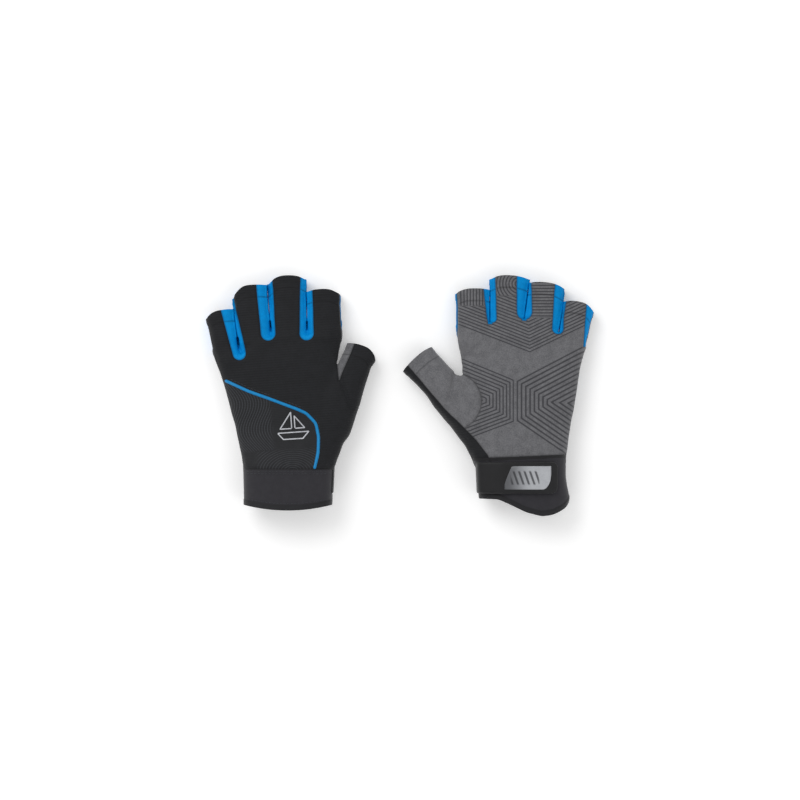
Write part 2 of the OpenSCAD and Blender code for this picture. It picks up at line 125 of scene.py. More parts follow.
# The inner side of each thumb's cut as (y, x): straight up from the root, then along the gap
THUMB_INNER = ([(62, 44.5), (95, 43.5), (110, 43.2), (125, 49.5)],
               [(61.4, 48.7), (84, 48.7), (96, 44.5), (104, 44.8), (112, 50), (130, 60)])
# The gap beside each thumb: from its bottom, towards a point, and how fast it widens
THUMB_GAP = (((43.2, 109.5), (49.5, 125), 0.15), ((44.9, 104.2), (60, 130), 0.2))
THUMB_CREASE = (((45, 98), (49, 84)), ((50.5, 104.5), (53.5, 92)))

SEAM_CLIMB = [(33.2, 20.6), (43.4, 23.4), (55.4, 25), (64.8, 23.8), (69, 21.2), (76, 17), (84, 14),
              (100, 16), (150, 18)]
SEAM_CROSS = [(20.8, 69.6), (17.5, 73), (11, 76.6), (-10.8, 86.6), (-26, 93.2), (-46.4, 104.4)]
# Blue channels on the back: the middle of the round bottom, its radius, and the same at the top
BACK_CHANNELS = (((-31.3, 122.7), 5, (-37, 153.8), 5.6), ((-8.2, 136.8), 5.5, (-8.5, 170), 6.2),
                 ((21.4, 134.7), 5.4, (23, 161.3), 4.8))
PALM_CHANNELS = (((-28.6, 139.8), 4.3, (-29.9, 169.1), 3.9), ((-2.9, 152.5), 5.8, (-2.5, 178.2), 5.6),
                 ((22.2, 147.7), 3.5, (23.9, 169.1), 4.6))
# Outside this plan line, (x, y) for each glove, the black back wraps round onto the palm
WRAP = ([(22, 33), (24.6, 40.4), (35, 52), (50, 68)],
        [(22, 33), (25.8, 42.4), (34.5, 53.9), (50, 69.3), (58.5, 77)])

CUFF_BACK = 31.5
CUFF_HALF = (33.5, 34.4)   # its half width at the hem and at its top edge
CUFF_THICKNESS = 16.0      # half of it
CUFF_PALM = [(-33, 42.7), (33, 40)]
HEM_PALM = [(-38.3, 12), (-37.4, 6), (-34.7, 2.2), (-30.4, -0.6), (-24, -3.6), (-15.8, -4.6), (-4, -1.6),
            (8, 4.2), (17.3, 8.4), (32, 8.9)]
BINDING = 4.0
HEM_TURN = 6.2           # how far a stall's hem is turned in
HEM_GROOVE = 5.0         # from a stall's end to the groove that its hem's thread pulls in
HEM_STITCH = 9.4         # from a stall's end to its row of stitches
STRAP_Y = 13.0
STRAP_WIDTH = 24.0
STRAP_FROM, STRAP_TO = 224, 356
STRAP_SUNK = (2.4, 3.4)    # how much closer in the strap's sewn end lies than the rest of it
STRAP_SINKS = (318, 34)    # the angle where that starts, and over how many degrees it grows

# -------------------- small maths


def smooth_table(pairs, spread=2.5):
    """(place, value) pairs as evenly spaced samples, with the corners rounded off."""
    places, values = np.array(pairs, float).T
    even = np.arange(places[0] - 40, places[-1] + 40, 0.5)
    reach = int(6 * spread)
    bell = np.exp(-0.5 * (np.arange(-reach, reach + 1) / (2 * spread)) ** 2)
    padded = np.pad(np.interp(even, places, values), reach, mode="edge")
    return even, np.convolve(padded, bell / bell.sum(), "valid")


def look(table, at):
    return np.interp(at, table[0], table[1])


def between(a, b, share):
    return a + (b - a) * share


def ease(t):
    t = np.clip(t, 0, 1)
    return t * t * (3 - 2 * t)


def bump_at(distance, width):
    return np.exp(-(distance / width) ** 2)


def smooth_min(a, b, k):
    h = np.clip(0.5 + 0.5 * (b - a) / k, 0, 1)
    return b + (a - b) * h - k * h * (1 - h)


def smooth_max(a, b, k):
    return -smooth_min(-a, -b, k)


def heading(angle):
    """The unit vectors out along and to the thumb side of something that leans by an angle."""
    a = math.radians(angle)
    return (math.sin(a), math.cos(a)), (math.cos(a), -math.sin(a))


def local(x, y, origin, angle):
    """Distances out along and across to the thumb side, from an origin and at a lean."""
    out, side = heading(angle)
    dx, dy = x - origin[0], y - origin[1]
    return dx * out[0] + dy * out[1], dx * side[0] + dy * side[1]


def section(across, up, half_width, half_height, power):
    """Signed distance, good near the surface, to a tube whose section is a superellipse."""
    u = np.abs(across) / half_width
    v = np.abs(up) / half_height
    reach = u ** power + v ** power - 1
    slope_u = u ** (power - 1) / half_width
    slope_v = v ** (power - 1) / half_height
    return np.clip(reach / (power * np.sqrt(slope_u ** 2 + slope_v ** 2) + 1e-4), -5, 8)


def line_distance(x, y, start, end):
    """Signed distance to the line from start to end, positive on its right-hand side."""
    dx, dy = end[0] - start[0], end[1] - start[1]
    return ((x - start[0]) * dy - (y - start[1]) * dx) / math.hypot(dx, dy)


def stretch_distance(x, y, start, end, most=1.0):
    """Distance to the stretch from start to end, and the share along it of the nearest place."""
    dx, dy = end[0] - start[0], end[1] - start[1]
    share = np.clip(((x - start[0]) * dx + (y - start[1]) * dy) / (dx * dx + dy * dy), 0, most)
    return np.hypot(x - start[0] - share * dx, y - start[1] - share * dy), share


def capsule(x, y, start, start_r, end, end_r):
    """Signed distance to a rounded channel that carries on open past its end."""
    away, share = stretch_distance(x, y, start, end, 1.6)
    return away - between(start_r, end_r, share)


def path_distance(x, y, points):
    """Signed distance to a path of points, positive on its right-hand side."""
    best = None
    for p, q in zip(points[:-1], points[1:]):
        away = stretch_distance(x, y, p, q)[0]
        away = np.where(line_distance(x, y, p, q) > 0, away, -away)
        best = away if best is None else np.where(np.abs(away) < np.abs(best), away, best)
    return best


# -------------------- the glove as a field

thumb_side = [smooth_table(table, 4) for table in THUMB_SIDE]
outer_side = [smooth_table(table, 3) for table in OUTER_SIDE]
half_thickness = smooth_table(HALF_THICKNESS, 4)
lift = [smooth_table(table, 2.5) for table in LIFT]
back_crotch = smooth_table(BACK_CROTCH)
palm_crotch = smooth_table(PALM_CROTCH)
root_cut = smooth_table(ROOT_CUT, 1)
seam_climb = smooth_table(SEAM_CLIMB, 1.2)
seam_cross = smooth_table(SEAM_CROSS[::-1], 1.2)
cuff_palm = smooth_table(CUFF_PALM)
hem_palm = smooth_table(HEM_PALM, 1.5)
thumb_inner = [smooth_table(table, 1) for table in THUMB_INNER]
thumb_outer = [smooth_table(table, 1.5) for table in THUMB_OUTER]


def middle(g, half, off_table):
    return half + off_table if g == 0 else HEIGHT - half - off_table


def hand_middle(g, y):
    return middle(g, look(half_thickness, y), look(lift[g], y))


def thumb_frame(g, x, y):
    """Out along and across the thumb, its half width and half thickness there, and its middle."""
    s, t = local(x, y, THUMB_PIVOT[g], THUMB_ANGLE[g])
    share = np.clip(s / THUMB_REACH[g], 0, 1)
    outer = look(thumb_outer[g], s)
    inner = THUMB_TAPER[g] * ease(share) - THUMB_ROOT_R
    half = between(*THUMB_THICKNESS, share)
    mid = middle(g, half, THUMB_LIFT[g] * (1 - share))
    return s, t - (outer + inner) / 2, (outer - inner) / 2, half, mid


def skin_middle(g, x, y):
    """The height of the side seams, which dips out along the thumb."""
    s, t, _, _, thumb_middle = thumb_frame(g, x, y)
    share = ease(s / 18) * ease((19 - np.abs(t)) / 3.5)
    return between(hand_middle(g, y), thumb_middle, share)


def hand_field(g, x, y, z):
    left, right = look(outer_side[g], y), look(thumb_side[g], y)
    up = z - hand_middle(g, y)
    body = section(x - (left + right) / 2, up, (right - left) / 2, look(half_thickness, y), HAND_POWER)
    end = between(look(palm_crotch, x), look(back_crotch, x), ease((up + 6) / 12))
    return smooth_max(body, (y - end) * 0.9, 3)


def finger_field(k, g, x, y, z):
    s, t = local(x, y, FINGER_ROOT[g][k], FINGER_LEAN[g][k])
    half = np.interp(s, *FINGER_THICKNESS)
    width = between(*FINGER_HALF[g][k], np.clip(s / FINGER_LENGTH[g][k], 0, 1))
    narrowing = FREE_SIDE[k] * ROOT_NARROWING * np.clip(-2 - s, 0, 25)
    body = section(t + narrowing, z - middle(g, half, 0), width - np.abs(narrowing), half, FINGER_POWER)
    return np.maximum(body, np.maximum(-FINGER_BACK - s, s - FINGER_LENGTH[g][k] - OVERRUN))


def from_slit(spot, x, y):
    """How far to the thumb side of a slit each place is."""
    return local(x, y, spot[:2], spot[2])[1]


def slit_field(g, spot, x, y, z):
    """Negative inside the narrow gap between two neighbouring stalls."""
    upper = ease((z - hand_middle(g, y) + 6) / 12)
    bottom = between(look(palm_crotch, spot[0]) + 0.5, look(back_crotch, spot[0]) + 4, upper)
    return np.maximum(np.abs(from_slit(spot, x, y)) - SLIT_HALF, (bottom - y) * 0.9)


def glove_field(g, x, y, z):
    """Negative inside the glove; close to a distance in mm near its surface."""
    fingers = np.minimum.reduce([finger_field(k, g, x, y, z) for k in range(4)])
    hand = smooth_min(hand_field(g, x, y, z), fingers, MELT)
    s, t, width, half, mid = thumb_frame(g, x, y)
    thumb = section(t, z - mid, width, half, THUMB_POWER)
    thumb = smooth_max(smooth_max(thumb, -THUMB_BACK - s, 8), s - THUMB_REACH[g] - OVERRUN, 1)
    whole = smooth_min(hand, thumb, MELT)
    for spot in SLITS[g]:
        whole = smooth_max(whole, -slit_field(g, spot, x, y, z), 0.6)
    start, end, widening = THUMB_GAP[g]
    gap = np.abs(line_distance(x, y, start, end)) - 0.6 - widening * (y - start[1])
    return smooth_max(whole, -np.maximum(gap, start[1] - y), 1)


def mesh_field(g):
    """The skin's points and triangles, and the height of its back over the plan."""
    axes = [np.arange(low, high, STEP) for low, high in zip(GRID_LOW, GRID_HIGH)]
    x, y, z = axes[0][:, None, None], axes[1][None, :, None], axes[2][None, None, :]
    values = np.clip(np.maximum(glove_field(g, x, y, z), OPEN_END - y), -3, 3).astype(np.float32)
    grid = openvdb.FloatGrid(3.0)
    grid.copyFromArray(values)
    points, quads = grid.convertToQuads(isovalue=0)[:2]
    points = points.astype(float) * STEP + GRID_LOW
    triangles = np.concatenate([quads[:, [0, 1, 2]], quads[:, [0, 2, 3]]]).astype(np.int64)
    for _ in range(2):
        points = settled(g, points)
    return points, triangles, Surface(axes, values)


def settled(g, points):
    """The points moved onto the field's surface, except on its closed-off ends."""
    h = 0.05
    value = glove_field(g, *points.T)
    slope = np.stack([glove_field(g, *(points + h * step).T) - value for step in np.eye(3)], axis=1) / h
    length2 = np.maximum((slope ** 2).sum(axis=1), 0.2)
    move = np.where(points[:, 1] < OPEN_END + 1.5, 0, value / length2)
    return points - slope * np.clip(move, -0.7, 0.7)[:, None]


class Surface:
    """The height of a glove's back over its plan."""

    def __init__(self, axes, values):
        self.axes = axes
        inside = values < 0
        top = values.shape[2] - 1
        last = top - inside[:, :, ::-1].argmax(axis=2)
        i, j = np.indices(last.shape)
        near, far = values[i, j, last], values[i, j, np.minimum(last + 1, top)]
        share = near / np.minimum(near - far, -1e-3)
        self.table = np.where(inside.any(axis=2), axes[2][last] + share * STEP, np.nan)

    def height(self, x, y):
        """The height at plan places, from the four grid columns round each."""
        u = (np.asarray(x, float) - self.axes[0][0]) / STEP
        v = (np.asarray(y, float) - self.axes[1][0]) / STEP
        i = np.clip(np.floor(u).astype(int), 0, self.table.shape[0] - 2)
        j = np.clip(np.floor(v).astype(int), 0, self.table.shape[1] - 2)
        fu, fv = u - i, v - j
        corners = self.table[[i, i + 1, i, i + 1], [j, j, j + 1, j + 1]]
        shares = np.stack([(1 - fu) * (1 - fv), fu * (1 - fv), (1 - fu) * fv, fu * fv])
        known = (shares * ~np.isnan(corners)).sum(axis=0)
        return np.nansum(corners * shares, axis=0) / np.maximum(known, 1e-3)


# -------------------- the seams, as levels that are 0 on them


def channel_level(g, x, y, z, mid):
    """Negative in the blue channels between and beside the fingers."""
    upper = np.maximum(INDEX_WALL[0] - x, INDEX_WALL[2] - y)
    lower = np.maximum(INDEX_WALL[1] - x, INDEX_WALL[2] - y)
    for spec in BACK_CHANNELS:
        upper = np.minimum(upper, capsule(x, y, *spec))
    for spec in PALM_CHANNELS:
        lower = np.minimum(lower, capsule(x, y, *spec))
    lower = np.minimum(lower, np.maximum(x - np.interp(y, *LITTLE_WALL), LITTLE_WALL[0][0] - y))
    level = between(lower, upper, ease((z - mid + 2) / 4))
    for spot in SLITS[g]:
        level = np.minimum(level, slit_field(g, spot, x, y, z) - 1.2)
    return level


def thumb_level(g, x, y):
    """Negative on the thumb's side of its cut."""
    seam_x, seam_y, radius = THUMB_SEAM[g]
    disc = np.hypot(x - seam_x, y - seam_y) - radius
    beyond = np.maximum(look(thumb_inner[g], y) - x, seam_y - radius - y)
    return np.minimum(disc, beyond)


def back_level(g, x, y, z, mid):
    """Positive on the black back, negative on the suede palm."""
    s, t = local(x, y, THUMB_PIVOT[g], THUMB_ANGLE[g])
    wrap = path_distance(x, y, WRAP[g])
    outer = t - SUEDE_OUTER[0] - SUEDE_OUTER[1] * s
    wrap = np.where(s > -6, smooth_max(wrap * (s < 6) - 20 * (s >= 6), outer, 1), wrap)
    level = smooth_max(z - mid, wrap, 1)
    inner = t - SUEDE_INNER[0] - SUEDE_INNER[1] * s
    strip = np.maximum(inner, np.maximum(15 - s, look(thumb_inner[g], y) - x))
    return np.where(x > 40, np.minimum(level, np.maximum(strip, -8)), level)


def finger_of(g, x, y):
    """The nearest finger of each place, how far out along it that is, and its share across."""
    frames = [local(x, y, FINGER_ROOT[g][k], FINGER_LEAN[g][k]) for k in range(4)]
    shares = np.stack([t / FINGER_HALF[g][k][1] for k, (s, t) in enumerate(frames)])
    nearest = np.sum([from_slit(spot, x, y) < 0 for spot in SLITS[g]], axis=0)
    rows = np.arange(len(x))
    along = np.stack([s for s, t in frames])[nearest, rows]
    return nearest, along, shares[nearest, rows]


def end_curve(curves, share):
    """How far an end curves back at a share across, given the most on the side below 0 and above."""
    return np.where(share < 0, curves[..., 0], curves[..., 1]) * np.minimum(np.abs(share), 1) ** 2.5


def hems(g, x):
    """How high the back's and the palm's hem lie; the one that faces down is tucked up, out of sight."""
    heights = [4 * (x / 33) ** 2, look(hem_palm, x)]
    heights[1 - g] = np.maximum(heights[1 - g], heights[g] + 1)
    return heights


def levels(g, points):
    """Every seam's level at the points, in mm."""
    x, y, z = points.T
    mid = skin_middle(g, x, y)
    nearest, along, share = finger_of(g, x, y)
    s, t, width = thumb_frame(g, x, y)[:3]
    back_share = ease((z - mid + 5) / 8)
    back_hem, palm_hem = hems(g, x)
    tip = along - np.array(FINGER_LENGTH[g])[nearest]
    tip += end_curve(np.array(FINGER_CURVE[g])[nearest], share)
    thumb = thumb_level(g, x, y)
    thumb_tip = s - THUMB_REACH[g] + end_curve(np.array(THUMB_CURVE[g]), t / width)
    return {
        "channel": channel_level(g, x, y, z, mid),
        "thumb": thumb,
        "back": back_level(g, x, y, z, mid),
        "root": y - look(root_cut, x),
        "tip": tip,
        "thumb_tip": np.where(thumb < 3, thumb_tip, -50),
        "seam": smooth_max(x - look(seam_climb, y), (y - look(seam_cross, x)) * 0.9, 2.5),
        "cuff": y - between(look(cuff_palm, x), CUFF_BACK, back_share),
        "hem": y - between(palm_hem, back_hem, back_share),
    }


# -------------------- relief of the sewn cloth


def creases(x, y, z):
    """Soft uneven rumples of worn cloth, about -1 to 1."""
    a = np.sin(0.11 * x + 0.05 * y + 1.3) * np.sin(0.07 * x - 0.13 * y + 0.12 * z)
    b = np.sin(0.23 * x - 0.16 * y + 2.1 + 1.5 * np.sin(0.06 * y)) * np.sin(0.19 * y + 0.11 * x + 0.4)
    return 0.6 * a + 0.4 * b


def relief(g, points, level):
    """How far the cloth stands out from the smooth skin at each point."""
    x, y, z = points.T
    out = 0.38 * creases(x, y, z) * ease((y - 34) / 20)
    # the back's cloth gathered above the cuff
    gathers = 0.6 + 0.8 * np.sin(0.75 * x + np.sin(0.2 * x))
    out += 0.4 * ease(level["cuff"] / 4) * bump_at(level["cuff"] - 3, 4) * gathers
    # seams pulled in by their thread, with the cloth puffed up beside them
    out -= 0.55 * bump_at(level["cuff"], 0.9)
    out -= 0.4 * bump_at(level["back"], 0.8) * (y > 36)
    out += 0.2 * bump_at(np.abs(level["back"]) - 2.4, 1.6) * (y > 36)
    out -= 0.45 * bump_at(level["channel"], 0.7)
    out += 0.25 * bump_at(level["channel"] - 2, 1.4) - 0.3 * (level["channel"] < -0.8)
    palm = ease(-(level["back"] + 0.3) / 1.5)
    out -= 0.6 * bump_at(level["thumb"], 0.8) * palm * (np.abs(level["thumb"]) < 4)
    out += 0.35 * bump_at(np.abs(level["thumb"]) - 2.6, 1.8) * palm
    on_back = (level["thumb"] > 0) & (level["root"] < 0) & (level["back"] > 0) & (level["cuff"] > 1)
    out += 0.3 * bump_at(level["seam"], 3.4) * on_back
    # hems turned in, and the cuff's binding
    for end in (-level["tip"], -level["thumb_tip"]):
        out += 0.32 * ease((HEM_TURN - end) / 1.4) - 0.28 * bump_at(end - HEM_GROOVE, 0.45)
    out += 0.35 * ease((BINDING + 0.6 - level["hem"]) / 0.9)
    # the walls between the stalls press together, and the cloth folds in at the thumb's crotch
    up = np.abs(z - skin_middle(g, x, y))
    for spot in SLITS[g]:
        wall = ease((1.4 - np.abs(from_slit(spot, x, y))) / 0.5)
        wall *= ease((y - look(palm_crotch, spot[0]) + 0.8) / 2)
        out += 0.64 * wall * ease((8.5 - up) / 3)
    start, end = THUMB_CREASE[g]
    out -= 1.5 * bump_at(capsule(x, y, start, 0, end, 0), 2.0)
    return out


# -------------------- printed lines on the palm and wrist

FAN = ((48.5, 143.2), (-6.9, 121.7), (-50, 142.5))
THUMB_NEST = ((45.4, 116.3), (5.9, 99.9), (5.9, 68.3), (37, 56.6))
OUTER_NEST = ((-49.3, 126.3), (2.9, 99), (2.9, 68.9), (-31.6, 45.4))
FAN_PITCH = 2.35
THUMB_PITCH = 2.6
OUTER_PITCH = 3.3
OWN_LINES = (157, 165, 148, 300)   # the Y above which each stall has lines of its own
MIDDLE_ARCS = (2, 174)             # the middle of the arcs on the middle stall


def nested(x, y, outline, way):
    """How far inside a bent outline each place is, for lines that run parallel to it."""
    return np.min([way * line_distance(x, y, p, q) for p, q in zip(outline[:-1], outline[1:])], axis=0)


def palm_lines(g, x, y):
    """Each place's count of lines inward from the edge of its printed zone, and the zone's share."""
    fan = nested(x, y, FAN, 1)
    thumb_nest = nested(x, y, THUMB_NEST, -1)
    outer_nest = nested(x, y, OUTER_NEST, 1)
    nearest = finger_of(g, x, y)[0]
    stall = (fan > 0) & (y > np.array(OWN_LINES)[nearest])
    middle_arcs = np.hypot(x - MIDDLE_ARCS[0], y - MIDDLE_ARCS[1])
    on_stall = np.choose(nearest, [x - 20, middle_arcs, y - 100, fan]) / FAN_PITCH
    count = np.where(thumb_nest > outer_nest, thumb_nest / THUMB_PITCH, outer_nest / OUTER_PITCH)
    count = np.where(fan > -1, fan / FAN_PITCH, count)
    count = np.where(stall, on_stall, count)
    zone = np.maximum(np.maximum(fan, thumb_nest), outer_nest)
    return count, ease((zone + 0.9) / 0.5)


def wrist_lines(x, y):
    """The same for the faint contour lines on the wrist panel."""
    wave = x + 5 * np.sin((y - 50) / 7.5) + 0.12 * (y - 60)
    rings = np.hypot(x - 4, (y - 30) * 1.5)
    outer = ease((-8 - x) / 5) * ease((y - 44) / 4)
    low = ease((49 - y) / 5) * ease((x + 26) / 6)
    count = np.where(outer > low, wave / 2.1, rings / 2.3)
    return count, np.maximum(outer, low * 0.8)


# -------------------- placing and meshes


def placed(g, points):
    """The glove's points where it lies in the pair, in metres."""
    x, y, z = np.asarray(points, float).T
    angle = np.radians(LEAN[g]) * ease((y - LEAN_FROM) / (LEAN_TO - LEAN_FROM))
    dy = y - LEAN_FROM
    x, y = x * np.cos(angle) - dy * np.sin(angle), LEAN_FROM + x * np.sin(angle) + dy * np.cos(angle)
    if g == 0:
        x = x - PAIR_HALF
    else:
        x, z = PAIR_HALF - x, HEIGHT - z
    return np.stack([x - PAIR_MIDDLE[0], y - PAIR_MIDDLE[1], z], axis=1) / 1000


def point_normals(points, triangles):
    corners = points[triangles]
    faces = np.cross(corners[:, 1] - corners[:, 0], corners[:, 2] - corners[:, 0])
    sums = np.zeros_like(points)
    for corner in range(3):
        for axis in range(3):
            sums[:, axis] += np.bincount(triangles[:, corner], faces[:, axis], len(points))
    return sums / np.maximum(np.linalg.norm(sums, axis=1), 1e-12)[:, None]


COLUMNS = ("x", "y", "z", "nx", "ny", "nz", "channel", "thumb", "back", "root", "tip", "thumb_tip", "seam",
           "cuff", "hem", "finger", "share", "lines", "zone", "weft", "edge")


class Skin:
    """Triangles with the columns of numbers at their points, all carried through every cut."""

    def __init__(self, data, triangles):
        used, first = np.unique(triangles, return_inverse=True)
        self.data = data[used]
        self.triangles = first.reshape(-1, 3)

    def column(self, name):
        return self.data[:, COLUMNS.index(name)]

    def cut(self, name, at=0.0):
        """The skins below and above a level. Triangles across it are divided along it."""
        level = self.column(name) - at
        level = np.where(np.abs(level) < 1e-4, 1e-4, level)
        above = level > 0
        count = above[self.triangles].sum(axis=1)
        across = self.triangles[(count == 1) | (count == 2)]
        lone_above = (above[across].sum(axis=1) == 1)
        first = (above[across] == lone_above[:, None]).argmax(axis=1)
        rows = np.arange(len(across))
        a, b, c = (across[rows, (first + turn) % 3] for turn in range(3))
        total = len(self.data)
        edges = np.sort(np.stack([np.concatenate([a, a]), np.concatenate([b, c])], axis=1), axis=1)
        keys, inverse = np.unique(edges[:, 0] * total + edges[:, 1], return_inverse=True)
        i, j = keys // total, keys % total
        share = np.clip(level[i] / (level[i] - level[j]), 0.03, 0.97)[:, None]
        data = np.concatenate([self.data, between(self.data[i], self.data[j], share)])
        p, q = total + inverse.reshape(-1)[:len(a)], total + inverse.reshape(-1)[len(a):]
        lone = np.stack([a, p, q], axis=1)
        pair = np.concatenate([np.stack([p, b, c], axis=1), np.stack([p, c, q], axis=1)])
        twice = np.concatenate([lone_above, lone_above])
        low = np.concatenate([self.triangles[count == 0], lone[~lone_above], pair[twice]])
        high = np.concatenate([self.triangles[count == 3], lone[lone_above], pair[~twice]])
        return Skin(data, low), Skin(data, high)

    def only(self, chosen):
        """The triangles whose middles are chosen, as their own skin."""
        return Skin(self.data, self.triangles[chosen[self.triangles].mean(axis=1) > 0.5])


def rim_edges(triangles, total):
    """The directed edges that only one triangle uses."""
    edges = np.concatenate([triangles[:, [0, 1]], triangles[:, [1, 2]], triangles[:, [2, 0]]])
    keys = edges[:, 0] * total + edges[:, 1]
    back = edges[:, 1] * total + edges[:, 0]
    return edges[~np.isin(keys, back)]


def added(name, data):
    """A new object in the scene."""
    thing = bpy.data.objects.new(name, data)
    bpy.context.scene.collection.objects.link(thing)
    return thing


def make_mesh(name, points, faces, normals=None, attributes=None):
    mesh = bpy.data.meshes.new(name)
    mesh.from_pydata(points.tolist(), [], faces)
    for key, values in (attributes or {}).items():
        mesh.attributes.new(key, "FLOAT", "POINT").data.foreach_set("value", values.astype(np.float32))
    mesh.polygons.foreach_set("use_smooth", [True] * len(mesh.polygons))
    if normals is not None:
        mesh.normals_split_custom_set_from_vertices(normals.tolist())
    mesh.update()
    return added(name, mesh)


def piece(name, fabric, points, faces, normals=None, attributes=None, new=False):
    """A mesh in its fabric, in the place of the CAD node with its name, unless it is a new piece."""
    thing = make_mesh(name if new else "soft_" + name, points, faces, normals, attributes)
    thing.data.materials.append(FABRICS[fabric])
    if not new:
        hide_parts(name)
    return thing


SHOWN = ("lines", "zone", "weft", "edge")


def panel(name, skin, fabric, new=False):
    """A sewn panel of cloth: the skin, the same a little further in, and a rim between them."""
    total = len(skin.data)
    outer = skin.data[:, :3]
    normals = skin.data[:, 3:6]
    normals = normals / np.maximum(np.linalg.norm(normals, axis=1), 1e-9)[:, None]
    a, b = rim_edges(skin.triangles, total).T
    rim = np.concatenate([np.stack([b, a, a + total], axis=1), np.stack([b, a + total, b + total], axis=1)])
    points = np.concatenate([outer, outer - normals * FABRIC / 1000])
    faces = np.concatenate([skin.triangles, skin.triangles[:, ::-1] + total, rim])
    attributes = {key: np.tile(skin.column(key), 2) for key in SHOWN}
    normals = np.concatenate([normals, -normals])
    return piece(name, fabric, points, faces.tolist(), normals, attributes, new)


def ring_solid(rings):
    """Points and faces of a closed solid through equal rings of points, capped at both ends."""
    count, size = rings.shape[:2]
    faces = []
    for j in range(count - 1):
        for i in range(size):
            a, b = j * size + i, j * size + (i + 1) % size
            faces.append([a, b, b + size, a + size])
    faces.append(list(range(size))[::-1])
    faces.append([(count - 1) * size + i for i in range(size)])
    return rings.reshape(-1, 3), faces


def lengths(path):
    """How far along the path each of its points is."""
    return np.concatenate([[0], np.cumsum(np.hypot(*np.diff(path, axis=0).T))])


def resampled(path, pitch):
    """The path's points, evenly spaced by about pitch."""
    path = np.array(path, float)
    along = lengths(path)
    even = np.linspace(0, along[-1], max(2, int(round(along[-1] / pitch)) + 1))
    return np.stack([np.interp(even, along, path[:, 0]), np.interp(even, along, path[:, 1])], axis=1)


def rounded(path):
    """The path with its corners cut off."""
    path = np.array(path, float)
    near, far = 0.75 * path[:-1] + 0.25 * path[1:], 0.25 * path[:-1] + 0.75 * path[1:]
    return np.concatenate([path[:1], np.stack([near, far], axis=1).reshape(-1, 2), path[-1:]])


PROFILE = [(math.cos(math.radians(a)), math.sin(math.radians(a))) for a in range(0, 181, 20)]
SINK = 0.5    # how far a raised line reaches into the cloth


def ribbon(surface, path, half_width, rise, flat=1.0):
    """A raised line on the glove's back: a cord if flat is 1, flatter-topped if it is less."""
    path = resampled(path, min(0.6, half_width))
    step = np.gradient(path, axis=0)
    side = np.stack([-step[:, 1], step[:, 0]], axis=1) / np.hypot(*step.T)[:, None]
    along = lengths(path)
    end = np.minimum(along, along[-1] - along)
    taper = np.sqrt(1 - (1 - np.clip(end / half_width, 0.05, 1)) ** 2)
    section_points = [(c, abs(s) ** flat * rise) for c, s in PROFILE] + [(-1, -SINK), (1, -SINK)]
    rings = []
    for c, up in section_points:
        spot = path + side * (c * half_width * taper)[:, None]
        base = surface.height(*(path if flat == 1 else spot).T)
        lifted = up * taper if up > 0 else np.full(len(path), up)
        rings.append(np.stack([spot[:, 0], spot[:, 1], base + lifted], axis=1))
    return ring_solid(np.stack(rings, axis=1))


def gathered(solids):
    """Several (points, faces) pairs as one."""
    points, faces, total = [], [], 0
    for some_points, some_faces in solids:
        faces += [[i + total for i in face] for face in some_faces]
        points.append(some_points)
        total += len(some_points)
    return np.concatenate(points), faces


def stitches(surface, path):
    """Thread stitches of 2.1 mm, with gaps of 0.7 mm, along a path on the glove's back."""
    path = resampled(path, 0.35)
    return [ribbon(surface, path[start:start + 7], 0.26, 0.3) for start in range(0, len(path) - 7, 8)]


def cuff_point(g, angle, y, proud):
    """A point of the cuff's shape at an angle round it, standing proud of its outer face."""
    c, s = math.cos(math.radians(angle)), math.sin(math.radians(angle))
    share = y / CUFF_BACK
    half = between(*CUFF_HALF, share)
    up = math.copysign(min(1, 1.03 * abs(s) ** (2 / HAND_POWER)), s)
    mid = middle(g, CUFF_THICKNESS, look(lift[g], 0))
    across = math.copysign(abs(c) ** (2 / HAND_POWER), c)
    return (0.5 * share + (half + proud) * across, y, mid + (CUFF_THICKNESS + proud) * up)


def plate(g, start, end, low, high, under, over, rounding=1.2, steps=60, sunk_end=0):
    """A thick soft plate that follows the cuff from one angle to another, with rounded edges."""
    rings = []
    for j in range(steps + 1):
        angle = start + (end - start) * j / steps
        sunk = sunk_end * ease((angle - STRAP_SINKS[0]) / STRAP_SINKS[1])
        bottom, top = low(angle), high(angle)
        span = (top - bottom) / 2
        near_end = min(j, steps - j) / 1.5
        puff = math.sqrt(1 - (1 - min(near_end, 1)) ** 2 * 0.8)
        ring = []
        for k in range(19):
            v = -math.cos(math.pi * k / 18)
            edge = min(1.0, (1 - abs(v)) * span / rounding)
            lifted = under + (over - under) * (0.45 + 0.55 * math.sqrt(1 - (1 - edge) ** 2)) * puff
            ring.append(cuff_point(g, angle, bottom + span * (1 + v), lifted - sunk))
        for k in range(18, -1, -6):
            v = -math.cos(math.pi * k / 18)
            ring.append(cuff_point(g, angle, bottom + span * (1 + v * 0.98), under - 0.75 * sunk))
        rings.append(ring)
    return ring_solid(np.array(rings)[:, ::-1])


def solid_piece(name, g, solid, fabric, attributes=None, new=False):
    """A solid in the glove's own frame as a piece of the pair."""
    points, faces = solid
    return piece(name, fabric, placed(g, points), faces, attributes=attributes, new=new)


# -------------------- materials


def shade(code):
    """A #rrggbb colour as the linear numbers that a shader takes."""
    parts = [int(code[i:i + 2], 16) / 255 for i in (1, 3, 5)]
    return tuple(c / 12.92 if c <= 0.04045 else ((c + 0.055) / 1.055) ** 2.4 for c in parts) + (1.0,)


def feed(tree, shader_node, inputs):
    """Link or set the node's inputs."""
    for key, value in inputs.items():
        if isinstance(value, bpy.types.NodeSocket):
            tree.links.new(value, shader_node.inputs[key])
        else:
            shader_node.inputs[key].default_value = value


def node(tree, kind, inputs=(), **settings):
    """A shader node with its settings made and its inputs set or linked."""
    made = tree.nodes.new(kind)
    for key, value in settings.items():
        setattr(made, key, value)
    feed(tree, made, dict(inputs))
    return made


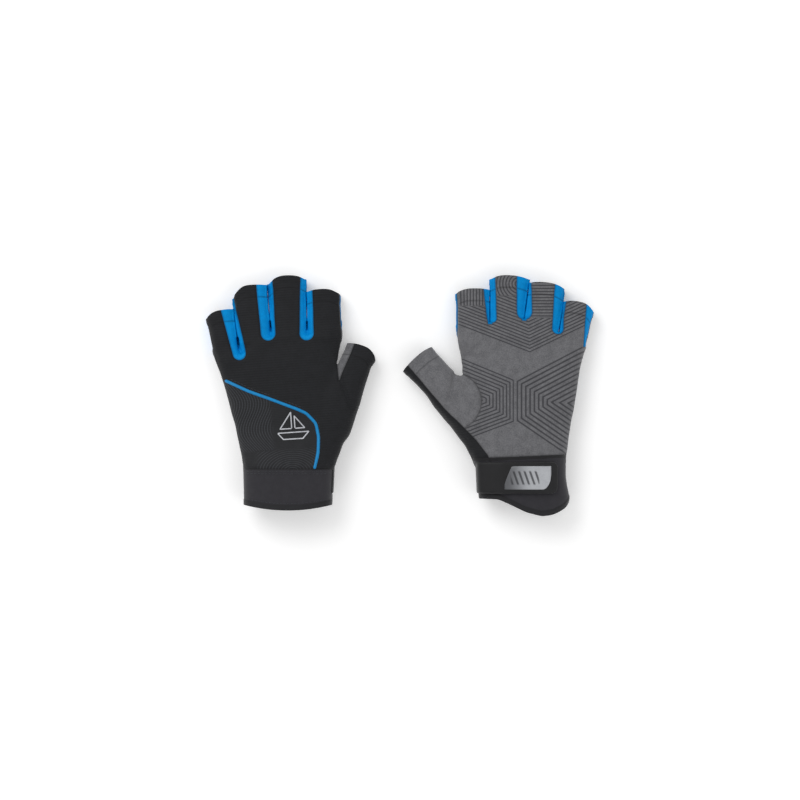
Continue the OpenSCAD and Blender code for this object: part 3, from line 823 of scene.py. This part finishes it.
def maths(tree, operation, a, b=0.0, c=0.5):
    return node(tree, "ShaderNodeMath", {0: a, 1: b, 2: c}, operation=operation).outputs[0]


def ramp(tree, value, low, high, to_low=0.0, to_high=1.0):
    inputs = {"Value": value, "From Min": low, "From Max": high, "To Min": to_low, "To Max": to_high}
    return node(tree, "ShaderNodeMapRange", inputs, interpolation_type="SMOOTHSTEP").outputs["Result"]


def mixed(tree, share, a, b):
    return node(tree, "ShaderNodeMix", {0: share, 6: a, 7: b}, data_type="RGBA").outputs[2]


def attribute(tree, name):
    return node(tree, "ShaderNodeAttribute", attribute_name=name).outputs["Fac"]


def noise(tree, place, scale, detail=3.0, rough=0.6):
    inputs = {"Vector": place, "Scale": scale, "Detail": detail, "Roughness": rough}
    return node(tree, "ShaderNodeTexNoise", inputs).outputs["Fac"]


FABRICS = {}
BLOTCH = 0.35    # the broad mottling's share of a cloth's mottling


def cloth(name, light, dark, roughness, grain=1400, depth=0.00012, sheen=0.25, ribs=0.0, rib_depth=0.00018,
          lines=None, line_width=0.17, line_share=1.0, metal=0.0, specular=0.3, fade=None):
    """Cloth: two shades mottled by its grain, with optional woven ribs, printed lines and a fade."""
    material = bpy.data.materials.new(name)
    material.use_nodes = True
    tree = material.node_tree
    shader = tree.nodes["Principled BSDF"]
    place = node(tree, "ShaderNodeTexCoord").outputs["Object"]
    fine = noise(tree, place, grain)
    broad = noise(tree, place, grain * 0.16, 2.0)
    mottle = maths(tree, "ADD", maths(tree, "MULTIPLY", ramp(tree, fine, 0.32, 0.68), 1 - BLOTCH),
                   maths(tree, "MULTIPLY", ramp(tree, broad, 0.3, 0.7), BLOTCH))
    colour = mixed(tree, mottle, shade(dark), shade(light))
    height = maths(tree, "MULTIPLY", fine, depth)
    if fade:
        colour = mixed(tree, attribute(tree, "fade"), colour, shade(fade))
    if ribs:
        turn = maths(tree, "MULTIPLY", attribute(tree, "weft"), 2 * math.pi / ribs)
        rib = maths(tree, "MULTIPLY_ADD", maths(tree, "SINE", turn), 0.5, 0.5)
        height = maths(tree, "ADD", height, maths(tree, "MULTIPLY", rib, rib_depth))
        colour = mixed(tree, maths(tree, "MULTIPLY", rib, 0.28), colour, shade(light))
    if lines:
        across = maths(tree, "PINGPONG", attribute(tree, "lines"), 0.5)
        on_line = maths(tree, "MULTIPLY", ramp(tree, across, line_width + 0.09, line_width - 0.09),
                        attribute(tree, "zone"))
        worn = maths(tree, "MULTIPLY", on_line, ramp(tree, fine, 0.2, 0.5, 0.7, 1.0))
        colour = mixed(tree, maths(tree, "MULTIPLY", worn, line_share), colour, shade(lines))
        height = maths(tree, "SUBTRACT", height, maths(tree, "MULTIPLY", on_line, 0.00015))
    # The edge column darkens the colour towards near black: painted shade along the seams, with the dark of
    # their stitching
    seam = maths(tree, "MULTIPLY", attribute(tree, "edge"), 0.55)
    colour = mixed(tree, seam, colour, shade("#08080a"))
    bump = node(tree, "ShaderNodeBump", {"Height": height, "Distance": 1.0, "Strength": 0.8})
    feed(tree, shader, {
        "Base Color": colour, "Normal": bump.outputs["Normal"], "Metallic": metal,
        "Specular IOR Level": specular, "Sheen Weight": sheen, "Sheen Roughness": 0.5,
        "Roughness": ramp(tree, fine, 0.2, 0.8, roughness - 0.08, roughness + 0.08)})
    FABRICS[name] = material


cloth("black_stretch", "#1e1f22", "#131416", 0.72, ribs=1.9, sheen=0.08, specular=0.2)
cloth("printed_stretch", "#1c1d20", "#121316", 0.68, ribs=1.3, rib_depth=0.0001, lines="#3e4045",
      line_width=0.13, line_share=0.7, sheen=0.08)
cloth("palm_suede", "#717174", "#545457", 0.9, grain=1100, depth=0.0002, sheen=0.3, lines="#343438",
      line_width=0.19, line_share=0.92)
cloth("blue_lycra", "#0090da", "#007abc", 0.6, grain=1700, ribs=0.9, rib_depth=0.00006, sheen=0.0,
      specular=0.08)
cloth("piping_blue", "#0288c6", "#0074ae", 0.5, grain=2200, depth=0.00006, sheen=0.05)
cloth("neoprene", "#2d2c31", "#212025", 0.78, grain=1500, ribs=0.8, rib_depth=0.00005, sheen=0.2)
cloth("binding", "#1c1c20", "#0e0e11", 0.6, grain=1800, ribs=0.7, rib_depth=0.0001, sheen=0.1)
cloth("strap_webbing", "#151518", "#0b0b0d", 0.55, grain=1200, depth=0.00008, sheen=0.1)
cloth("hook_and_loop", "#1b1b1e", "#050506", 0.95, grain=900, depth=0.0005, sheen=0.4)
cloth("silver_print", "#c9cbd0", "#9c9ea3", 0.42, grain=1500, depth=0.00003, sheen=0.0, metal=0.3,
      specular=0.5)
cloth("badge", "#b4b6ba", "#a2a4a9", 0.42, grain=1300, depth=0.00003, sheen=0.0, metal=0.3, specular=0.5,
      lines="#2c2d30", line_width=0.2, line_share=0.85, fade="#47484c")
cloth("thread", "#3a3b40", "#222327", 0.7, grain=2400, depth=0.00006, sheen=0.1)

# -------------------- one glove, panel by panel


def skin_of(g):
    """The whole skin of a glove, in its place in the pair, with every seam's level at its points."""
    points, triangles, surface = mesh_field(g)
    level = levels(g, points)
    x, y, z = points.T
    nearest, _, share = finger_of(g, x, y)
    out = point_normals(points, triangles) * relief(g, points, level)[:, None]
    shown = placed(g, points + out)
    shown[:, 2] = np.maximum(shown[:, 2], 0)
    palm_count, palm_zone = palm_lines(g, x, y)
    palm_zone = palm_zone * ease(level["thumb"] / 0.6)
    wrist_count, wrist_zone = wrist_lines(x, y)
    on_palm = level["back"] < 0
    # The edge column darkens the cloth along its seams: painted shade where the seams pull the cloth in,
    # the dark of the stitch rows, and a dark band just under the cuff's seam on the palm
    seams = np.min([np.abs(level[key]) for key in ("back", "channel", "cuff")], axis=0)
    thumb_seam = np.where(on_palm, level["thumb"], 9)
    thin_seams = np.minimum(np.abs(thumb_seam), np.abs(level["hem"] - BINDING))
    stitched = np.min([np.abs(level[key] + HEM_STITCH) for key in ("tip", "thumb_tip")], axis=0)
    under_cuff_seam = ease((level["cuff"] + 2.6) / 0.5) * (level["cuff"] < 0) * (z < skin_middle(g, x, y))
    edges = [bump_at(seams, 0.7), bump_at(thin_seams, 0.5), bump_at(stitched, 0.5), 1.5 * under_cuff_seam]
    data = dict(level, finger=nearest, share=share, weft=y, edge=np.max(edges, axis=0),
                lines=np.where(on_palm, palm_count, wrist_count),
                zone=np.where(on_palm, palm_zone, wrist_zone))
    columns = [*shown.T, *point_normals(shown, triangles).T] + [data[key] for key in COLUMNS[6:]]
    return Skin(np.stack(columns, axis=1), triangles), surface


def bend(thing):
    """The piece with its placing baked into its mesh."""
    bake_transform(thing)


def finger_panels(g, stalls):
    """The back, palm and two blue walls of each stall."""
    name = GLOVES[g]
    for k, finger in enumerate(FINGERS):
        stall = stalls.only(stalls.column("finger") == k)
        walls, strips = stall.cut("channel")
        palm, back = strips.cut("back")
        outer, inner = walls.only(walls.column("share") < 0), walls.only(walls.column("share") >= 0)
        parts = {"back": (back, "black_stretch"), "palm": (palm, "palm_suede"),
                 "thumbside_wall": (inner, "blue_lycra"), "outer_wall": (outer, "blue_lycra")}
        for part, (skin, fabric) in parts.items():
            bend(panel(f"{name}_{finger}_{part}", skin, fabric))


def hand_panels(g, skin):
    """All the panels that are cut from the skin."""
    name = GLOVES[g]
    cuff, upper = skin.cut("cuff")
    binding, band = cuff.cut("hem", BINDING)
    binding = binding.cut("hem")[1]
    thumb, upper = upper.cut("thumb")
    thumb = thumb.cut("thumb_tip")[0]
    stalls, upper = upper.cut("root")[::-1]
    finger_panels(g, stalls.cut("tip")[0])
    thumb_palm, thumb_back = thumb.cut("back")
    bend(panel(name + "_thumb_back", thumb_back, "black_stretch"))
    bend(panel(name + "_thumb_palm", thumb_palm, "palm_suede"))
    gussets, upper = upper.cut("channel")
    palm, back = upper.cut("back")
    wrist, back = back.cut("seam")
    parts = {"back_panel": (back, "black_stretch"), "palm_panel": (palm, "palm_suede"),
             "wrist_panel": (wrist, "printed_stretch"), "cuff_band": (band, "neoprene"),
             "cuff_binding": (binding, "binding"), "gussets": (gussets, "blue_lycra")}
    for part, (piece_skin, fabric) in parts.items():
        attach(panel(f"{name}_{part}", piece_skin, fabric, new=part == "gussets"), name + "_hand")


# A plain boat with two sails, as outlines round the emblem's middle
EMBLEM_SPOT = (6, 58)
EMBLEM = (((-1, 4.5), (-1, 17), (-10, 4.5), (-1, 4.5)), ((1.5, 4.5), (1.5, 14), (9, 4.5), (1.5, 4.5)),
          ((-12, 1.5), (12, 1.5), (7, -3.5), (-8, -3.5), (-12, 1.5)))


def back_trims(g, surface):
    """The piping, the emblem and the stitching on the back of the hand."""
    name = GLOVES[g]
    hand = name + "_hand"
    climb = [(look(seam_climb, y), y) for y in np.arange(CUFF_BACK + 0.3, 66.5, 1.5)]
    cross = [(x, look(seam_cross, x)) for x in np.arange(17.5, -48.1, -0.5)]
    cross = [(x, y) for x, y in cross if x > look(outer_side[g], y) + 0.9][::3]
    path = rounded(climb + cross)
    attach(solid_piece(name + "_piping", g, ribbon(surface, path, 1.25, 1.35), "piping_blue"), hand)
    strokes = [ribbon(surface, np.array(line) + EMBLEM_SPOT, 0.5, 0.5, flat=0.35) for line in EMBLEM]
    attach(solid_piece(name + "_emblem", g, gathered(strokes), "silver_print"), hand)
    rows = [[(x, CUFF_BACK - 1.6) for x in (-31.5, 31.5)], [(x, CUFF_BACK - 3.4) for x in (-31.5, 31.5)],
            path[path[:, 0] > -42] + np.array((1.6, 2.2)),
            [(x, hems(g, x)[0] + BINDING + 1.2) for x in np.arange(-31, 31.1, 2)]]
    threads = [one for row in rows for one in stitches(surface, row)]
    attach(solid_piece(name + "_back_stitches", g, gathered(threads), "thread", new=True), hand)


def corner_cut(angle, start, span):
    """The share of a round corner that is cut away, from 0 at span degrees after its start to 1."""
    share = max(0.0, (start + span - angle) / span)
    return 1 - math.sqrt(max(0.0, 1 - share * share))


def level_at(y):
    """An edge that runs straight round the cuff."""
    return lambda angle: y


def strap_low(angle):
    return STRAP_Y + 9 * corner_cut(angle, STRAP_FROM, 9)


def strap_high(angle):
    root = max(0.0, (angle - 340) / 16)
    return STRAP_Y + STRAP_WIDTH - 8 * corner_cut(angle, STRAP_FROM, 8) - 3.4 * root ** 2


def badge_low(angle):
    return STRAP_Y + 3 + 15 * corner_cut(angle, 237, 13)


def badge_high(angle):
    return STRAP_Y + STRAP_WIDTH - 3 - 14 * max(0.0, (angle - 276) / 8)


def badge_print(points):
    """A plain pattern for the badge: slanted bars in a band, fading in from the strap's root."""
    x, y = points[:, :2].T
    band = ease((y - STRAP_Y - 6.5) / 0.5) * ease((STRAP_Y + STRAP_WIDTH - 6.5 - y) / 0.5)
    band = band * ease((x + 14) / 0.6) * ease((8 - x) / 0.6)
    return {"lines": (x - 0.35 * (y - STRAP_Y)) / 4.2, "zone": band, "fade": ease((x + 10) / 22) * 0.9}


def strap_parts(g):
    """The strap round the palm side of the wrist, with its patches, badge and sewn end."""
    name = GLOVES[g]
    hand, strap = name + "_hand", name + "_strap"
    band = plate(g, STRAP_FROM, STRAP_TO, strap_low, strap_high, 1.3, 3.5, sunk_end=STRAP_SUNK[g])
    bend(solid_piece(strap, g, band, "strap_webbing"))
    patch_low, patch_high = level_at(STRAP_Y + 5), level_at(STRAP_Y + STRAP_WIDTH - 5)
    anchor_high = level_at(CUFF_BACK - 0.3)
    anchor_over = 3.2 - STRAP_SUNK[g]
    for part, fabric, rider, start, end, low, high, under, over in (
            ("cuff_loop_patch", "hook_and_loop", hand, 240, 262, patch_low, patch_high, -0.2, 0.6),
            ("strap_hook_patch", "hook_and_loop", strap, 240, 262, patch_low, patch_high, 0.75, 1.35),
            ("strap_anchor", "strap_webbing", hand, 357.6, 374, strap_low, anchor_high, -1.2, anchor_over),
            ("strap_badge", "badge", strap, 237.5, 284, badge_low, badge_high, 3.2, 4.0)):
        solid = plate(g, start, end, low, high, under, over, rounding=0.8, steps=24)
        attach(solid_piece(f"{name}_{part}", g, solid, fabric, badge_print(solid[0])), rider)


def build_glove(g):
    skin, surface = skin_of(g)
    hand_panels(g, skin)
    back_trims(g, surface)
    strap_parts(g)


# -------------------- the stage


def area_light(name, place, size, power):
    light = bpy.data.lights.new(name, "AREA")
    light.size = size
    light.energy = power
    thing = added(name, light)
    thing.location = place
    thing.rotation_euler = Vector(place).to_track_quat("Z", "Y").to_euler()


CAMERA_PLACE = (0.0006, -0.0032, 3.44)
LENS = 200


def build_stage():
    """A white floor under soft light, seen from straight above through a long lens."""
    corners = [(x, y, -0.0003) for x, y in ((-6, -6), (6, -6), (6, 6), (-6, 6))]
    floor = make_mesh("floor", np.array(corners), [[0, 1, 2, 3]])
    paper = bpy.data.materials.new("paper")
    paper.use_nodes = True
    tree = paper.node_tree
    feed(tree, tree.nodes["Principled BSDF"],
         {"Base Color": (0.93, 0.93, 0.93, 1), "Roughness": 0.9, "Emission Color": (1, 1, 1, 1),
          "Emission Strength": 0.22})
    floor.data.materials.append(paper)
    scene = bpy.context.scene
    scene.world = bpy.data.worlds.new("studio")
    scene.world.use_nodes = True
    tree = scene.world.node_tree
    feed(tree, tree.nodes["Background"], {"Color": (1, 1, 1, 1), "Strength": 0.66})
    area_light("key", (-0.9, 1.0, 1.5), 1.2, 15)
    area_light("fill", (1.2, -0.7, 1.6), 1.6, 5)
    scene.view_settings.view_transform = "Standard"
    camera = bpy.data.cameras.new("camera")
    camera.lens = LENS
    camera.sensor_width = 36
    scene.camera = added("camera", camera)
    scene.camera.location = CAMERA_PLACE


for glove in range(2):
    build_glove(glove)
build_stage()
